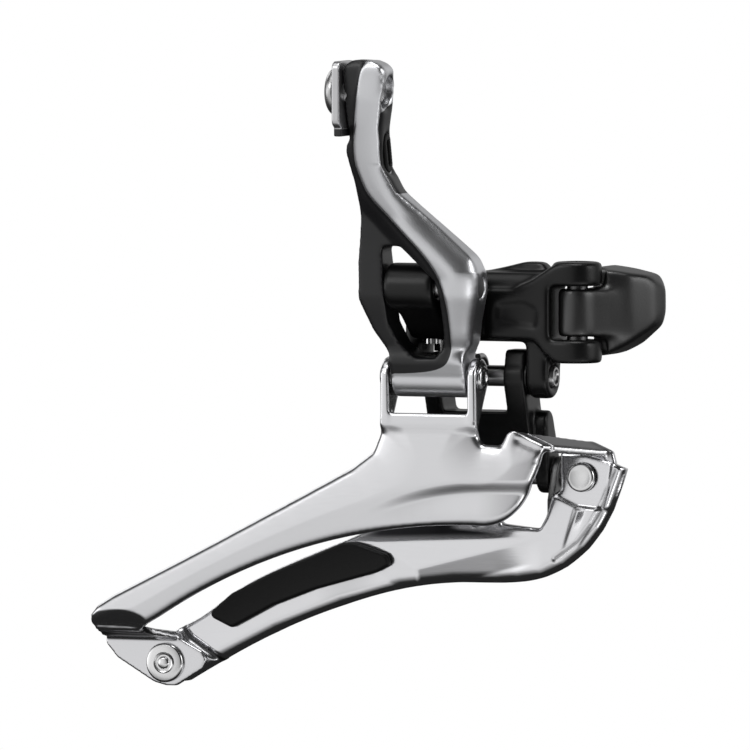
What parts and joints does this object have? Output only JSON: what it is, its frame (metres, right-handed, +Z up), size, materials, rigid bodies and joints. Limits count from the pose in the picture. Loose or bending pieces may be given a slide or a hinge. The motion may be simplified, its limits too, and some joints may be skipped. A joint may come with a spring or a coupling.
{
  "type": "front derailleur",
  "caption": "Road front derailleur: long cable lever and inner link swing a bright two-plate chain cage from a black body with a frame-mount block.",
  "frame": {"origin": "centre of the mouth of the threaded mounting hole in the mounting block's rear face", "axes": "+X forward along the hinge pins, +Y inboard towards the bicycle's centre plane, +Z up"},
  "size_m": [0.107, 0.0455, 0.1184],
  "materials": {
    "black_cast": "satin black anodised",
    "satin_alloy": "satin silver and black anodised",
    "bright_plate": "bright plated steel",
    "dark_plate": "dark plated steel",
    "pin_steel": "bright steel",
    "spring_steel": "bright wire",
    "black_resin": "matte"
  },
  "bodies": {
    "base": {"base_body": "black_cast", "mount_block": "black_cast", "mount_pin": "pin_steel", "inner_upper_pin": "pin_steel", "thrust_washer": "pin_steel", "return_spring": "spring_steel"},
    "lever_arm": {"outer_link": "satin_alloy", "outer_upper_pin": "pin_steel", "cable_plate": "pin_steel", "cable_converter": "black_resin"},
    "anchor_bolt": {"cable_bolt": "pin_steel"},
    "cage": {"outer_plate": "bright_plate", "inner_plate": "bright_plate", "skid_pad": "black_resin", "hinge_bracket": "dark_plate", "inner_lower_pin": "pin_steel", "outer_lower_pin": "pin_steel", "bracket_rivets": "pin_steel", "nose_rivet": "pin_steel", "tail_washer": "pin_steel", "tail_rivet": "pin_steel"},
    "inner_arm": {"inner_link": "black_cast"},
    "low_screw": {"low_limit_screw": "pin_steel"},
    "high_screw": {"high_limit_screw": "pin_steel"}
  },
  "joints": [
    {"name": "lever_arm_swing", "type": "hinge", "parent": "base", "child": "lever_arm", "pos_m": [-0.027, -0.0225, 0.005], "axis": [-1, 0, 0], "range_deg": [0, 30], "stiffness_Nm_per_rad": 0.09, "springref_deg": -34.38},
    {"name": "cage_tilt", "type": "hinge", "parent": "lever_arm", "child": "cage", "pos_m": [-0.027, -0.017, -0.012], "axis": [1, 0, 0], "range_deg": [0, 28.7]},
    {"name": "inner_link_swing", "type": "hinge", "parent": "base", "child": "inner_arm", "pos_m": [-0.027, -0.008, -0.012], "axis": [-1, 0, 0], "range_deg": [0, 28.95]},
    {"name": "anchor_bolt_turn", "type": "hinge", "parent": "lever_arm", "child": "anchor_bolt", "pos_m": [-0.0394, -0.0346, 0.0414], "axis": [1, 0, 0], "range_deg": [-720, 0]},
    {"name": "low_screw_turn", "type": "hinge", "parent": "base", "child": "low_screw", "pos_m": [-0.029, -0.0054, 0.0074], "axis": [0, 0, 1], "range_deg": [-720, 720]},
    {"name": "high_screw_turn", "type": "hinge", "parent": "base", "child": "high_screw", "pos_m": [-0.029, -0.0104, 0.0074], "axis": [0, 0, 1], "range_deg": [-720, 720]}
  ],
  "couplings": [
    {"joint": "cage_tilt", "follows": "lever_arm_swing", "ratio": 0.9525},
    {"joint": "inner_link_swing", "follows": "lever_arm_swing", "ratio": 0.9615}
  ]
}
